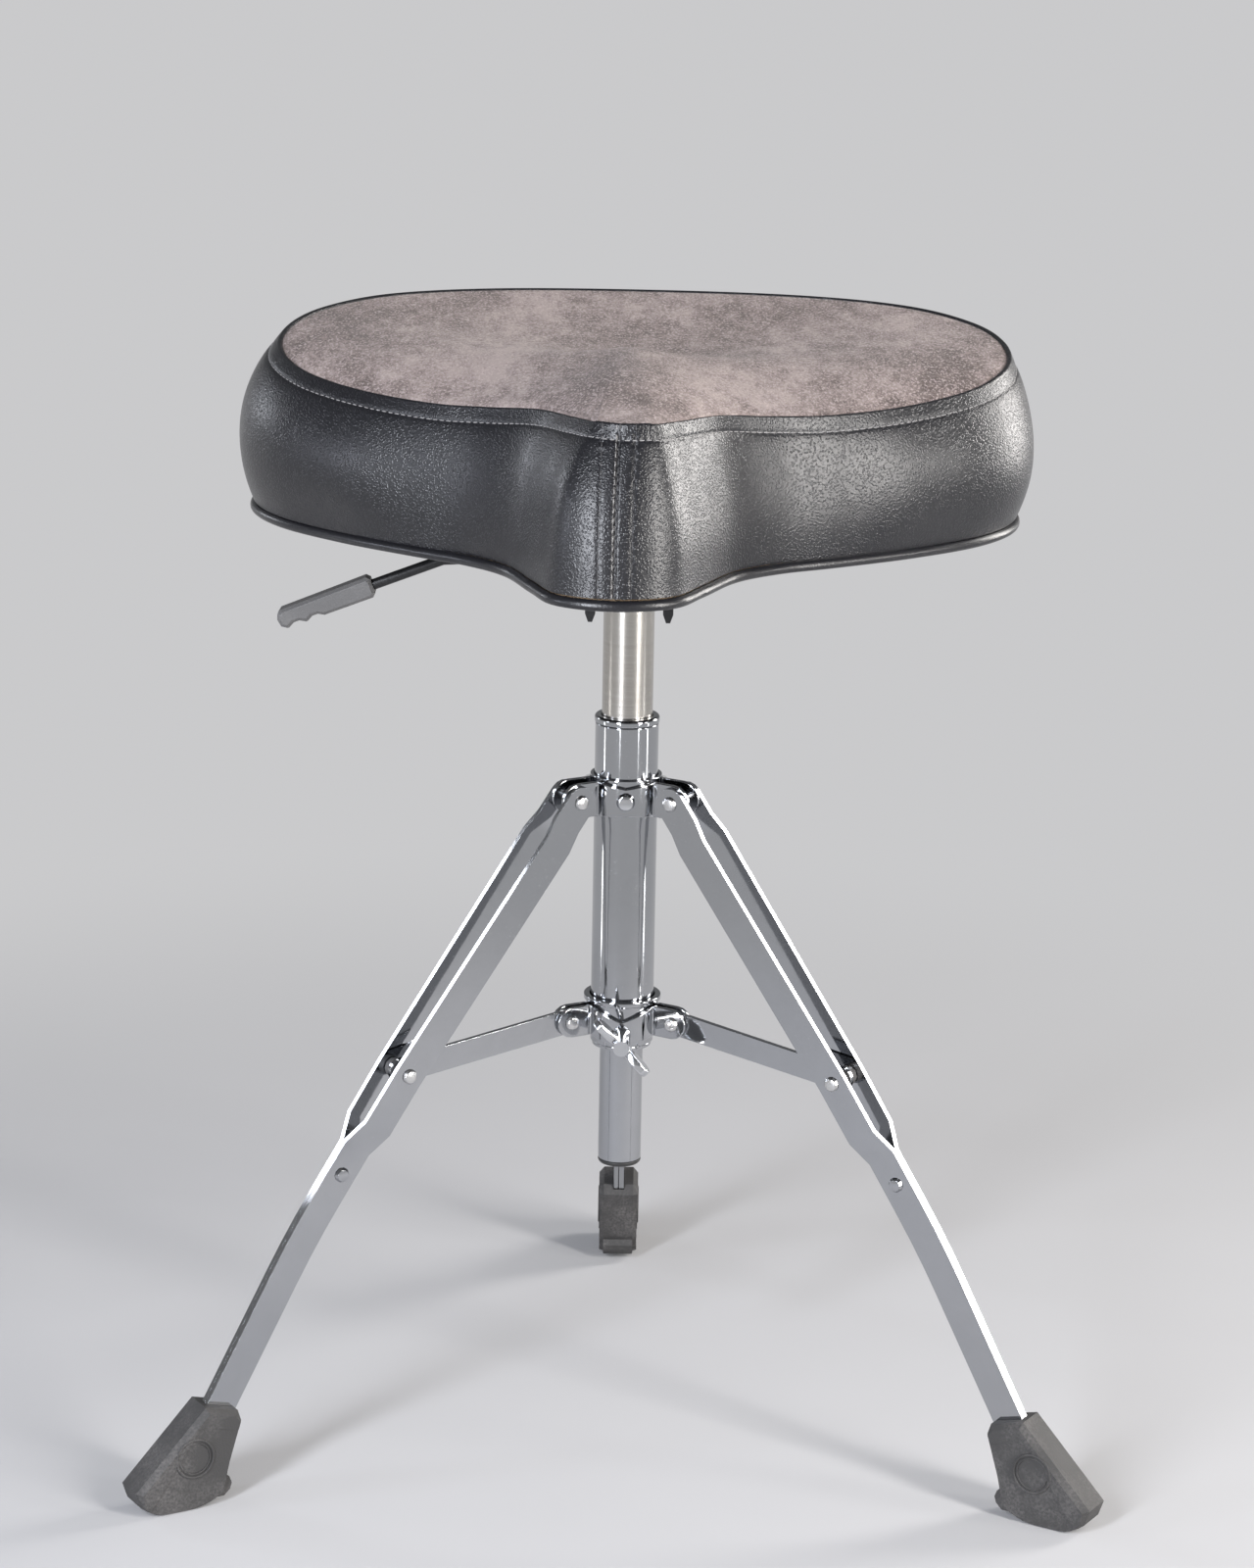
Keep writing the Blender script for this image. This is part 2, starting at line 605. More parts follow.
def foot_outline():
    """The boot seen from its side, clockwise from the rim of the mouth, with an inset for each corner."""
    floor = -FOOT_MOUTH_HEIGHT
    toe = (FOOT_TOE_REACH, floor + FOOT_TOE_HEIGHT)
    toe_under = (FOOT_TOE_UNDER[0], floor + FOOT_TOE_UNDER[1])
    sole_front = (FOOT_SOLE_START + FOOT_SOLE_LENGTH, floor)
    sole_back = (FOOT_SOLE_START, floor)
    heel = (FOOT_HEEL[0], floor + FOOT_HEEL[1])
    waist = (FOOT_WAIST[0], floor + FOOT_WAIST[1])
    front_bend = (sole_front[0] + (toe_under[0] - sole_front[0]) / 2, floor)
    back_bend = (sole_back[0] - (sole_back[0] - heel[0]) / 2, floor)
    rows = [(FOOT_MOUTH_OUTER, FOOT_OUTER_BEVEL), (toe, FOOT_OUTER_BEVEL), (toe_under, FOOT_OUTER_BEVEL / 2)]
    rows += [(point, FOOT_INNER_BEVEL / 2) for point in curve(toe_under, front_bend, sole_front)]
    rows += [(sole_front, FOOT_INNER_BEVEL / 2), (sole_back, FOOT_INNER_BEVEL / 2)]
    rows += [(point, FOOT_INNER_BEVEL / 2) for point in curve(sole_back, back_bend, heel)]
    rows += [(heel, FOOT_INNER_BEVEL), (waist, FOOT_INNER_BEVEL)]
    rows += [(FOOT_CUFF, FOOT_OUTER_BEVEL / 2), (FOOT_MOUTH_INNER, FOOT_OUTER_BEVEL)]
    outline, insets = zip(*rows)
    return outline, insets


def foot_mesh():
    """A rubber boot, in the leg's frame, with its origin at the middle of its mouth."""
    floor = -FOOT_MOUTH_HEIGHT
    outline, insets = foot_outline()
    narrow = inset_outline(outline, insets)
    half = FOOT_THICKNESS / 2
    shoulder = half - FOOT_OUTER_BEVEL
    rings = []
    for aside, points in ((-half, narrow), (-shoulder, outline), (shoulder, outline), (half, narrow)):
        rings.append([(x, aside, z) for x, z in points])
    boot = skinned(rings)

    heel = (FOOT_HEEL[0], floor + FOOT_HEEL[1])
    lug_outline = [(heel[0] + FOOT_HEEL_LUG * x, heel[1] + FOOT_HEEL_LUG * z) for x, z in FOOT_HEEL_LUG_SHAPE]
    boot = joined(boot, extruded(lug_outline, FOOT_HEEL_LUG_WIDTH))

    edge = (Vector(outline[1]) - Vector(outline[0])).normalized()
    inward = Vector((edge.y, -edge.x))
    rim = (Vector(FOOT_MOUTH_OUTER) - Vector(FOOT_MOUTH_INNER)).normalized()
    corner = Vector(FOOT_MOUTH_OUTER) + inward * FOOT_PANEL_ASIDE + edge * FOOT_PANEL_TOP
    beyond = corner - rim * FOOT_TOE_REACH
    toe = Vector((FOOT_TOE_REACH - FOOT_PANEL_TOE, floor))
    down = (toe - corner).normalized()
    outside = toe + down * FOOT_PANEL_TOE
    round_start = corner - rim * FOOT_PANEL_ASIDE
    round_end = corner + down * FOOT_PANEL_ASIDE
    panel = [tuple(beyond), tuple(round_start), *curve(round_start, corner, round_end), tuple(round_end)]
    panel += [tuple(outside), (beyond.x, outside.y)]
    tools = []
    for side in (-1, 1):
        tool = extruded(panel, 2 * FOOT_PANEL_DEPTH)
        tool.transform(Matrix.Translation((0, side * half, 0)))
        tools.append(tool)

    width = STRAP_WIDTH + 2 * FIT
    thickness = 2 * (STRAP_DOUBLED_ASIDE + STRAP_THICKNESS / 2 + FIT)
    pocket = box((width, thickness, 2 * (STRAP_IN_FOOT + FIT)))
    pocket.transform(Matrix.Rotation(-math.radians(LEG_LOWER_LEAN), 4, "Y"))
    return cut(boot, pocket, *tools)


def stay_mesh():
    """A flat stay along X, round at both ends, with an eye at each end."""
    half = STAY_WIDTH / 2
    outline = []
    for middle, start in ((0.0, math.pi / 2), (STAY_LENGTH, -math.pi / 2)):
        for step in range(9):
            angle = start + math.pi * step / 8
            outline.append((middle + half * math.cos(angle), half * math.sin(angle)))
    mesh = extruded(outline, STAY_THICKNESS)
    hole = RIVET_RADIUS + FIT
    eyes = [cylinder(hole, 4 * STAY_THICKNESS, (x, 0, 0), "Y") for x in (0.0, STAY_LENGTH)]
    return cut(mesh, *eyes)


def stay_bush_mesh():
    """The two spacers beside the stay's outer eye, on the pin that runs through the eye."""
    end = spread_at(LEG_UPPER_LENGTH) - STRAP_THICKNESS / 2 - STAY_BUSH_SIDE_GAP
    face = STAY_THICKNESS / 2 + FIT
    profile = (
        (0.0, -end),
        (STAY_BUSH_RADIUS, -end),
        (STAY_BUSH_RADIUS, -face),
        (RIVET_RADIUS, -face),
        (RIVET_RADIUS, face),
        (STAY_BUSH_RADIUS, face),
        (STAY_BUSH_RADIUS, end),
        (0.0, end),
    )
    return turned_along_y(profile)


def build_legs(throne, looks):
    straps = {side: strap_mesh(side) for side in (1, -1)}
    hinge_stack = 2 * (STRAP_TOP_ASIDE + STRAP_THICKNESS / 2)
    top_rivet = rivet_mesh(hinge_stack)
    stay_rivets = {side: stay_rivet_mesh(side) for side in (1, -1)}
    foot = foot_mesh()
    mouth = leg_point(MOUTH_DISTANCE, 0, 0)
    for name, azimuth in LEGS.items():
        spoke = empty(f"{name}_leg_plane", throne, turn_z=azimuth)
        hinge = empty(f"{name}_leg_hinge", spoke, (HINGE_RADIUS, 0, HINGE_HEIGHT))
        for side, number in ((1, 1), (-1, 2)):
            part(f"{name}_leg_strap_{number}", straps[side].copy(), looks["chrome"], hinge)
            pivot = leg_point(LEG_UPPER_LENGTH, 0, 0)
            part(f"{name}_leg_stay_rivet_{number}", stay_rivets[side].copy(), looks["steel"], hinge, pivot)
        part(f"{name}_leg_top_rivet", top_rivet.copy(), looks["steel"], hinge)
        part(f"{name}_foot", foot.copy(), looks["rubber"], hinge, mouth)


# ---------------------------------------------------------------- collars


def plate_mesh(inner_radius, ear_aside, pivot_radius, ear_radius, above, below):
    """One collar plate: a strip bent round the bush, whose two ears run out along the leg planes.

    It is made with its middle along +X. The ears stand beside the leg planes at 60 degrees to either side.
    """
    radius = inner_radius + PLATE_THICKNESS / 2
    hidden = math.asin(ear_aside / radius)
    arc = math.radians(60) - hidden
    leg = math.radians(60)
    along = Vector((math.cos(leg), math.sin(leg)))
    inward = Vector((math.sin(leg), -math.cos(leg)))
    half = []  # from the middle to the tip of the ear: place, direction, top, bottom
    steps = 4
    for step in range(steps + 1):
        angle = arc * step / steps
        share = step / steps
        top = above + (ear_radius - above) * share
        bottom = below + (ear_radius - below) * share
        place = Vector((math.cos(angle), math.sin(angle))) * radius
        half.append((place, Vector((-math.sin(angle), math.cos(angle))), top, bottom))
    root = half[-1]
    half[-1] = (root[0], (root[1] + along).normalized(), root[2], root[3])
    for step in range(5):
        angle = math.pi / 2 * step / 4
        place = along * (pivot_radius + ear_radius * math.sin(angle)) + inward * ear_aside
        height = max(ear_radius * math.cos(angle), 0.15 * ear_radius)
        half.append((place, along, height, height))
    mirrored = []
    for place, way, top, bottom in half[:0:-1]:
        mirrored.append((Vector((place.x, -place.y)), Vector((-way.x, way.y)), top, bottom))
    rings = []
    for place, way, top, bottom in mirrored + half:
        side = Vector((way.y, -way.x)) * (PLATE_THICKNESS / 2)
        inner = place - side
        outer = place + side
        corners = ((inner, -bottom), (outer, -bottom), (outer, top), (inner, top))
        rings.append([(point.x, point.y, height) for point, height in corners])
    mesh = skinned(rings)
    holes = []
    for side in (1, -1):
        pivot = along * pivot_radius
        drill = cylinder(RIVET_RADIUS + FIT, THROUGH, axis="Y")
        drill.transform(Matrix.Rotation(side * leg, 4, "Z"))
        drill.transform(Matrix.Translation((pivot.x, side * pivot.y, 0)))
        holes.append(drill)
    return cut(mesh, *holes)


def bush_mesh(bore, radius, above, below, flange_radius=None, flange_height=0.0):
    profile = [(bore, -below), (radius, -below)]
    if flange_radius:
        under = above - flange_height
        profile += [(radius, under), (flange_radius, under), (flange_radius, above)]
    else:
        profile += [(radius, above)]
    profile += [(bore, above)]
    return turned(profile)


def build_upper_collar(throne, looks):
    collar = empty("upper_collar", throne, (0, 0, HINGE_HEIGHT))
    screw_tip = UPPER_BUSH_RADIUS - SCREW_GRIP
    bush = bush_mesh(TUBE_RADIUS + FIT, UPPER_BUSH_RADIUS, UPPER_BUSH_ABOVE, UPPER_BUSH_BELOW)
    plate = plate_mesh(
        UPPER_BUSH_RADIUS + FIT,
        UPPER_EAR_ASIDE,
        HINGE_RADIUS,
        UPPER_EAR_RADIUS,
        UPPER_PLATE_ABOVE,
        UPPER_PLATE_BELOW,
    )
    seat = UPPER_BUSH_RADIUS + FIT + PLATE_THICKNESS + FIT
    shank = [(0.0, screw_tip), (SCREW_RADIUS, screw_tip), (SCREW_RADIUS, seat)]
    screw = turned(shank + dome(SCREW_HEAD_RADIUS, SCREW_HEAD_HEIGHT, seat), SMALL_ROUND)
    screw.transform(Matrix.Rotation(math.pi / 2, 4, "Y"))
    drill = cylinder(SCREW_RADIUS + FIT, THROUGH, (seat, 0, 0), "X")
    plate = cut(plate, drill)
    pockets = []
    for azimuth in PLATES.values():
        pocket = cylinder(SCREW_RADIUS + FIT, THROUGH, (THROUGH / 2 + screw_tip - FIT, 0, 0), "X")
        pocket.transform(Matrix.Rotation(math.radians(azimuth), 4, "Z"))
        pockets.append(pocket)
    part("upper_collar_bush", cut(bush, *pockets), looks["chrome"], collar)
    for name, azimuth in PLATES.items():
        spoke = empty(f"upper_plate_{name}_plane", collar, turn_z=azimuth)
        part(f"upper_plate_{name}", plate.copy(), looks["chrome"], spoke)
        part(f"upper_screw_{name}", screw.copy(), looks["chrome"], spoke)


def wing_bolt_mesh():
    """The bolt along X from its tip on the column tube, with a hub and two flat wings."""
    tip = TUBE_RADIUS + FIT
    hub_start = LOWER_BUSH_RADIUS + FIT + PLATE_THICKNESS + BOLT_HUB_CLEARANCE
    hub_end = hub_start + BOLT_HUB_LENGTH
    profile = (
        (0.0, tip),
        (BOLT_RADIUS, tip),
        (BOLT_RADIUS, hub_start),
        (BOLT_HUB_RADIUS, hub_start),
        (BOLT_HUB_RADIUS, hub_end - CHAMFER),
        (BOLT_HUB_RADIUS - CHAMFER, hub_end),
        (0.0, hub_end),
    )
    bolt = turned(profile, SMALL_ROUND)
    bolt.transform(Matrix.Rotation(math.pi / 2, 4, "Y"))
    half = WING_SPAN / 2
    root = WING_ROOT / 2
    front = hub_end - CHAMFER
    back = front - WING_DEPTH + WING_CORNER
    quarter = (
        (back, root),
        (back, half - WING_CORNER),
        (back + WING_CORNER, half),
        (front, half),
        (front + WING_CORNER, half - WING_CORNER),
        (front, root),
    )
    outline = [*quarter, *((x, -z) for x, z in quarter[::-1])]
    wings = extruded(outline, WING_THICKNESS)
    wings.transform(Matrix.Rotation(math.radians(90 + WING_TILT), 4, "X"))
    return joined(bolt, wings)


def build_lower_collar(throne, looks):
    collar = empty("lower_collar", throne, (0, 0, COLLAR_HEIGHT))
    bush = bush_mesh(
        TUBE_RADIUS + SLIDING_GAP,
        LOWER_BUSH_RADIUS,
        LOWER_EAR_RADIUS + FIT + LOWER_BUSH_FLANGE_HEIGHT,
        LOWER_BUSH_BELOW,
        LOWER_BUSH_FLANGE_RADIUS,
        LOWER_BUSH_FLANGE_HEIGHT,
    )
    plate = plate_mesh(
        LOWER_BUSH_RADIUS + FIT,
        LOWER_EAR_ASIDE,
        COLLAR_PIVOT_RADIUS,
        LOWER_EAR_RADIUS,
        LOWER_PLATE_ABOVE,
        LOWER_PLATE_BELOW,
    )
    outwards = (THROUGH + LOWER_BUSH_RADIUS) / 2
    drill = cylinder(BOLT_RADIUS + FIT, THROUGH, (outwards, 0, -BOLT_BELOW_PIVOTS), "X")
    front_drill = drill.copy()
    front_drill.transform(Matrix.Rotation(math.radians(PLATES["front"]), 4, "Z"))
    part("lower_collar_bush", cut(bush, front_drill), looks["chrome"], collar)
    rivet = rivet_mesh(2 * LOWER_EAR_ASIDE + PLATE_THICKNESS)
    for name, azimuth in PLATES.items():
        spoke = empty(f"lower_plate_{name}_plane", collar, turn_z=azimuth)
        mesh = cut(plate.copy(), drill.copy()) if name == "front" else plate.copy()
        part(f"lower_plate_{name}", mesh, looks["chrome"], spoke)
        if name == "front":
            part("wing_bolt", wing_bolt_mesh(), looks["chrome"], spoke, (0, 0, -BOLT_BELOW_PIVOTS))
    stay = stay_mesh()
    bushes = stay_bush_mesh()
    slope = math.asin(STAY_RISE / STAY_LENGTH)
    for name, azimuth in LEGS.items():
        spoke = empty(f"{name}_stay_plane", collar, turn_z=azimuth)
        hinge = empty(f"{name}_stay_hinge", spoke, (COLLAR_PIVOT_RADIUS, 0, 0))
        part(f"{name}_stay_rivet", rivet.copy(), looks["steel"], hinge)
        part(f"{name}_stay", stay.copy(), looks["chrome"], hinge, rotation=(0, slope, 0))
        outer = (STAY_LENGTH * math.cos(slope), 0, -STAY_RISE)
        part(f"{name}_stay_bushes", bushes.copy(), looks["grey_plastic"], hinge, outer)


# ---------------------------------------------------------------- column and gas lift


def build_column(throne, looks):
    tube = turned(
        ((TUBE_BORE, TUBE_BOTTOM), (TUBE_RADIUS, TUBE_BOTTOM), (TUBE_RADIUS, TUBE_TOP), (TUBE_BORE, TUBE_TOP))
    )
    part("column_tube", tube, looks["chrome"], throne)

    guide_bore = GAS_TUBE_RADIUS + FIT
    sleeve = TUBE_BORE - FIT
    flange = GUIDE_TOP - GUIDE_FLANGE_HEIGHT
    guide = turned(
        (
            (guide_bore, TUBE_TOP - GUIDE_DEPTH),
            (sleeve, TUBE_TOP - GUIDE_DEPTH),
            (sleeve, flange),
            (GUIDE_FLANGE_RADIUS, flange),
            (GUIDE_FLANGE_RADIUS, GUIDE_TOP - CHAMFER),
            (GUIDE_FLANGE_RADIUS - CHAMFER, GUIDE_TOP),
            (guide_bore, GUIDE_TOP),
        )
    )
    part("guide_bush", guide, looks["chrome"], throne)

    shoulder = TUBE_BOTTOM - FIT
    bore = STUB_RADIUS - STUB_WALL
    rod_hole = PISTON_ROD_RADIUS + FIT
    floor = STUB_BOTTOM + END_CAP_DEPTH + FIT
    stub = turned(
        (
            (bore, STUB_BOTTOM),
            (STUB_RADIUS, STUB_BOTTOM),
            (STUB_RADIUS, shoulder - STUB_SHOULDER),
            (TUBE_RADIUS - CHAMFER, shoulder - STUB_SHOULDER + CHAMFER),
            (TUBE_RADIUS - CHAMFER, shoulder),
            (sleeve, shoulder),
            (sleeve, STUB_TOP),
            (bore, STUB_TOP),
            (bore, floor + STUB_FLOOR),
            (rod_hole, floor + STUB_FLOOR),
            (rod_hole, floor),
            (bore, floor),
        )
    )
    part("lower_tube", stub, looks["chrome"], throne)

    cap_top = STUB_BOTTOM + END_CAP_DEPTH - ROD_HEAD_HEIGHT - FIT
    cap = turned(
        (
            (0.0, STUB_BOTTOM - END_CAP_LIP - FIT),
            (STUB_RADIUS - CHAMFER, STUB_BOTTOM - END_CAP_LIP - FIT),
            (STUB_RADIUS, STUB_BOTTOM - END_CAP_LIP + CHAMFER),
            (STUB_RADIUS, STUB_BOTTOM - FIT),
            (bore - FIT, STUB_BOTTOM - FIT),
            (bore - FIT, cap_top - FIT),
            (0.0, cap_top - FIT),
        )
    )
    part("end_cap", cap, looks["black_plastic"], throne)
    return floor


def build_gas_lift(throne, looks, stub_floor):
    swivel = empty("swivel", throne)
    head_top = stub_floor - FIT
    head_bottom = head_top - ROD_HEAD_HEIGHT
    piston_bottom = GAS_TUBE_BOTTOM + GAS_TUBE_FLOOR + FIT
    piston_radius = GAS_TUBE_BORE - PISTON_GAP
    rod = turned(
        (
            (0.0, head_bottom),
            (ROD_HEAD_RADIUS, head_bottom),
            (ROD_HEAD_RADIUS, head_top),
            (PISTON_ROD_RADIUS, head_top),
            (PISTON_ROD_RADIUS, piston_bottom),
            (piston_radius, piston_bottom),
            (piston_radius, piston_bottom + PISTON_LENGTH),
            (0.0, piston_bottom + PISTON_LENGTH),
        ),
        16,
    )
    part("piston_rod", rod, looks["steel"], swivel)

    bearing_bottom = stub_floor + STUB_FLOOR + FIT
    bearing_top = bearing_bottom + BEARING_HEIGHT
    rod_hole = PISTON_ROD_RADIUS + FIT
    bearing = turned(
        (
            (rod_hole, bearing_bottom),
            (BEARING_RADIUS, bearing_bottom),
            (BEARING_RADIUS, bearing_top),
            (rod_hole, bearing_top),
        ),
        16,
    )
    part("thrust_bearing", bearing, looks["steel"], swivel)

    lift = empty("seat_lift", swivel, (0, 0, SEAT_BASE))
    bottom = GAS_TUBE_BOTTOM - SEAT_BASE
    top = GAS_TUBE_TOP - SEAT_BASE
    stem_hole = BUTTON_STEM_RADIUS + FIT
    tube = turned(
        (
            (rod_hole, bottom),
            (GAS_TUBE_RADIUS, bottom),
            (GAS_TUBE_RADIUS, -SOCKET_BELOW_RIBS - RIB_DEPTH),
            (GAS_TUBE_RADIUS - GAS_TUBE_TAPER, top),
            (stem_hole, top),
            (stem_hole, top - BUTTON_STEM_LENGTH - BUTTON_TRAVEL - FIT),
            (0.0, top - BUTTON_STEM_LENGTH - BUTTON_TRAVEL - FIT),
            (0.0, top - VALVE_BLOCK),
            (GAS_TUBE_BORE, top - VALVE_BLOCK),
            (GAS_TUBE_BORE, bottom + GAS_TUBE_FLOOR),
            (rod_hole, bottom + GAS_TUBE_FLOOR),
        )
    )
    part("pressure_tube", tube, looks["satin_steel"], lift)

    button_top = top + BUTTON_HEIGHT
    button = turned(
        (
            (0.0, top - BUTTON_STEM_LENGTH),
            (BUTTON_STEM_RADIUS, top - BUTTON_STEM_LENGTH),
            (BUTTON_STEM_RADIUS, button_top),
            (0.0, button_top),
        ),
        SMALL_ROUND,
    )
    part("release_button", button, looks["steel"], empty("button_slide", lift))
    return lift


# ---------------------------------------------------------------- seat mount and lever


def lever_path():
    """The middle of the lever rod in the seat's frame, from the button outwards: x and z."""
    slope = math.radians(LEVER_SLOPE)
    sloped = LEVER_ROD_SLOPED + LEVER_ROD_TIP
    return (
        (BUTTON_RADIUS, -LEVER_SEAT_DROP),
        (-LEVER_PIVOT / 2, -LEVER_SEAT_DROP),
        (-LEVER_PIVOT, -LEVER_PIVOT_DROP),
        (-LEVER_BEND, -LEVER_BEND_DROP),
        (-LEVER_BEND - sloped * math.cos(slope), -LEVER_BEND_DROP - sloped * math.sin(slope)),
    )


def rod_mesh(path, radius, facets=SMALL_ROUND):
    """A round rod whose middle runs through points in X and Z, mitred at its bends."""
    ways = [(Vector(b) - Vector(a)).normalized() for a, b in zip(path, path[1:])]
    rings = []
    for i, (x, z) in enumerate(path):
        before = ways[max(i - 1, 0)]
        after = ways[min(i, len(ways) - 1)]
        middle = (before + after).normalized()
        normal = Vector((-middle.y, middle.x)) / middle.dot(before)
        ring = []
        for step in range(facets):
            angle = math.tau * (step + 0.5) / facets
            across = radius * math.cos(angle)
            ring.append((x + normal.x * across, radius * math.sin(angle), z + normal.y * across))
        rings.append(ring)
    return skinned(rings)


def grip_mesh():
    """The grip along +X from its inner end, with two finger scallops under its outer half."""
    half = GRIP_HEIGHT / 2
    nose = half - GRIP_NOSE / 2
    outline = [(0.0, -nose), (0.0, nose), (GRIP_NOSE / 2, half), (GRIP_LENGTH - GRIP_NOSE, half - CHAMFER)]
    outline += [(GRIP_LENGTH, nose / 2), (GRIP_LENGTH - CHAMFER, -nose), (GRIP_LENGTH - GRIP_NOSE, -half)]
    reach = math.sqrt(SCALLOP_RADIUS**2 - (SCALLOP_RADIUS - SCALLOP_DEPTH) ** 2)
    for number in (0, 1):
        middle = GRIP_LENGTH - GRIP_NOSE - SCALLOP_GAP - reach - number * (2 * reach + SCALLOP_GAP)
        for step in range(SCALLOP_STEPS + 1):
            share = 1 - 2 * step / SCALLOP_STEPS
            angle = math.asin(share * reach / SCALLOP_RADIUS)
            sag = SCALLOP_RADIUS * math.cos(angle) - (SCALLOP_RADIUS - SCALLOP_DEPTH)
            outline.append((middle + share * reach, -half + sag))
    outline.append((GRIP_NOSE / 2, -half))
    mesh = rounded_edges(extruded(outline, GRIP_WIDTH), GRIP_BEVEL)
    bore = cylinder(LEVER_RADIUS + FIT, 2 * (LEVER_ROD_TIP + FIT), (0, 0, 0), "X")
    return cut(mesh, bore)


def build_lever(lift, looks):
    pivot = empty("lever_hinge", lift, (-LEVER_PIVOT, 0, -LEVER_PIVOT_DROP))
    path = [(x + LEVER_PIVOT, z + LEVER_PIVOT_DROP) for x, z in lever_path()]
    pin = cylinder(LEVER_PIN_RADIUS, LEVER_PIN_LENGTH, axis="Y")
    part("lever_rod", joined(rod_mesh(path, LEVER_RADIUS), pin), looks["black_metal"], pivot)
    slope = math.radians(LEVER_SLOPE)
    start_x = path[3][0] - LEVER_ROD_SLOPED * math.cos(slope)
    start_z = path[3][1] - LEVER_ROD_SLOPED * math.sin(slope)
    grip = grip_mesh()
    grip.transform(Matrix.Diagonal((-1, 1, 1, 1)))
    grip.flip_normals()
    part("lever_grip", grip, looks["grey_plastic"], pivot, (start_x, 0, start_z), (0, -slope, 0))


def bolt_places():
    for x_side in (-1, 1):
        for y_side in (-1, 1):
            x = x_side * (MOUNT_WIDTH / 2 - MOUNT_BOLT_INSET)
            y = -MOUNT_FORWARD + y_side * (MOUNT_LENGTH / 2 - MOUNT_BOLT_INSET)
            yield x, y


def rounded_rectangle(width, length, corner, middle_y):
    """An outline in X and Y with round corners."""
    points = []
    for x_side, y_side, start in ((1, 1, 0.0), (-1, 1, 90.0), (-1, -1, 180.0), (1, -1, 270.0)):
        x = x_side * (width / 2 - corner)
        y = middle_y + y_side * (length / 2 - corner)
        for step in range(CURVE_STEPS + 1):
            angle = math.radians(start + 90.0 * step / CURVE_STEPS)
            points.append((x + corner * math.cos(angle), y + corner * math.sin(angle)))
    return points


def rib_mesh(aside, top):
    """A long rib with a narrowed keel, whose ends are cut back towards the bottom."""
    half = RIB_THICKNESS / 2
    keel = -RIB_DEPTH + RIB_KEEL_HEIGHT
    outline = (
        (aside - half, top),
        (aside - half, keel),
        (aside - RIB_KEEL_WIDTH / 2, -RIB_DEPTH),
        (aside + RIB_KEEL_WIDTH / 2, -RIB_DEPTH),
        (aside + half, keel),
        (aside + half, top),
    )
    rib = extruded(outline, RIB_FRONT + RIB_REAR)
    rib.transform(Matrix.Translation((0, (RIB_REAR - RIB_FRONT) / 2, 0)))
    for vert in rib.vertices:
        cut_back = RIB_TAPER * (top - vert.co.z) / (top + RIB_DEPTH)
        vert.co.y += cut_back if vert.co.y < 0 else -cut_back
    return rib


def arm_mesh(x, y, top, start):
    """A low rib that ends just inside the edge of a bolt boss."""
    angle = math.atan2(y, x)
    length = math.hypot(x, y) - MOUNT_BOSS_RADIUS + CHAMFER - start
    arm = box((length, ARM_THICKNESS, ARM_DEPTH), (start + length / 2, 0, top - ARM_DEPTH / 2))
    arm.transform(Matrix.Rotation(angle, 4, "Z"))
    return arm


def mount_mesh():
    """The seat plate with its ribs, taper socket, bolt bosses and lever clevis, cast in one piece."""
    top = -UNDER_BOARD
    under = top - MOUNT_THICKNESS
    outline = rounded_rectangle(MOUNT_WIDTH, MOUNT_LENGTH, MOUNT_CORNER, -MOUNT_FORWARD)
    plate = skinned([[(x, y, z) for x, y in outline] for z in (under, top)])
    bury = under + MOUNT_THICKNESS / 2  # the ribs start inside the plate, so that they join it
    socket_bottom = -RIB_DEPTH - SOCKET_BELOW_RIBS
    socket_top = -GAS_TUBE_TOP_DROP - SOCKET_BELOW_TUBE_TOP
    bore = GAS_TUBE_RADIUS + FIT
    wall = bore + SOCKET_WALL
    socket_middle = (0, 0, (socket_top + socket_bottom) / 2)
    socket = cylinder(wall, socket_top - socket_bottom, socket_middle, facets=ROUND)
    added = [rib_mesh(side * RIB_ASIDE, bury) for side in (-1, 1)]
    added.append(socket)
    for side in (-1, 1):
        height = bury + WEB_DEPTH
        middle = (0, side * WEB_ASIDE, bury - height / 2)
        added.append(box((2 * RIB_ASIDE, WEB_THICKNESS, height), middle))
    for x, y in bolt_places():
        height = bury - under + MOUNT_BOSS_HEIGHT
        added.append(cylinder(MOUNT_BOSS_RADIUS, height, (x, y, bury - height / 2)))
        added.append(arm_mesh(x, y, bury, RIB_ASIDE))
    for side in (-1, 1):
        aside = side * (LEVER_CLEVIS_HALF_GAP + LEVER_CLEVIS_THICKNESS / 2)
        reach = LEVER_PIVOT + LEVER_CLEVIS_RADIUS - RIB_ASIDE
        middle = (-RIB_ASIDE - reach / 2, aside, -LEVER_PIVOT_DROP)
        added.append(box((reach, LEVER_CLEVIS_THICKNESS, 2 * LEVER_CLEVIS_RADIUS), middle))
    body = joined(plate, *added)
    tool_top = (socket_top + under) / 2
    tool = turned(
        (
            (0.0, socket_bottom - CHAMFER),
            (bore, socket_bottom - CHAMFER),
            (bore, socket_bottom),
            (bore - GAS_TUBE_TAPER, tool_top),
            (0.0, tool_top),
        )
    )
    slot_half = LEVER_RADIUS + LEVER_SLOT_CLEARANCE
    slot = box(
        (2 * RIB_THICKNESS, 2 * (LEVER_RADIUS + FIT), 2 * slot_half),
        (-RIB_ASIDE, 0, -LEVER_PIVOT_DROP + LEVER_SLOT_RISE),
    )
    pin_hole = cylinder(LEVER_PIN_RADIUS + FIT, THROUGH, (-LEVER_PIVOT, 0, -LEVER_PIVOT_DROP), "Y")
    drills = [cylinder(MOUNT_BOLT_RADIUS + FIT, THROUGH, (x, y, top)) for x, y in bolt_places()]
    return cut(body, tool, slot, pin_hole, *drills)


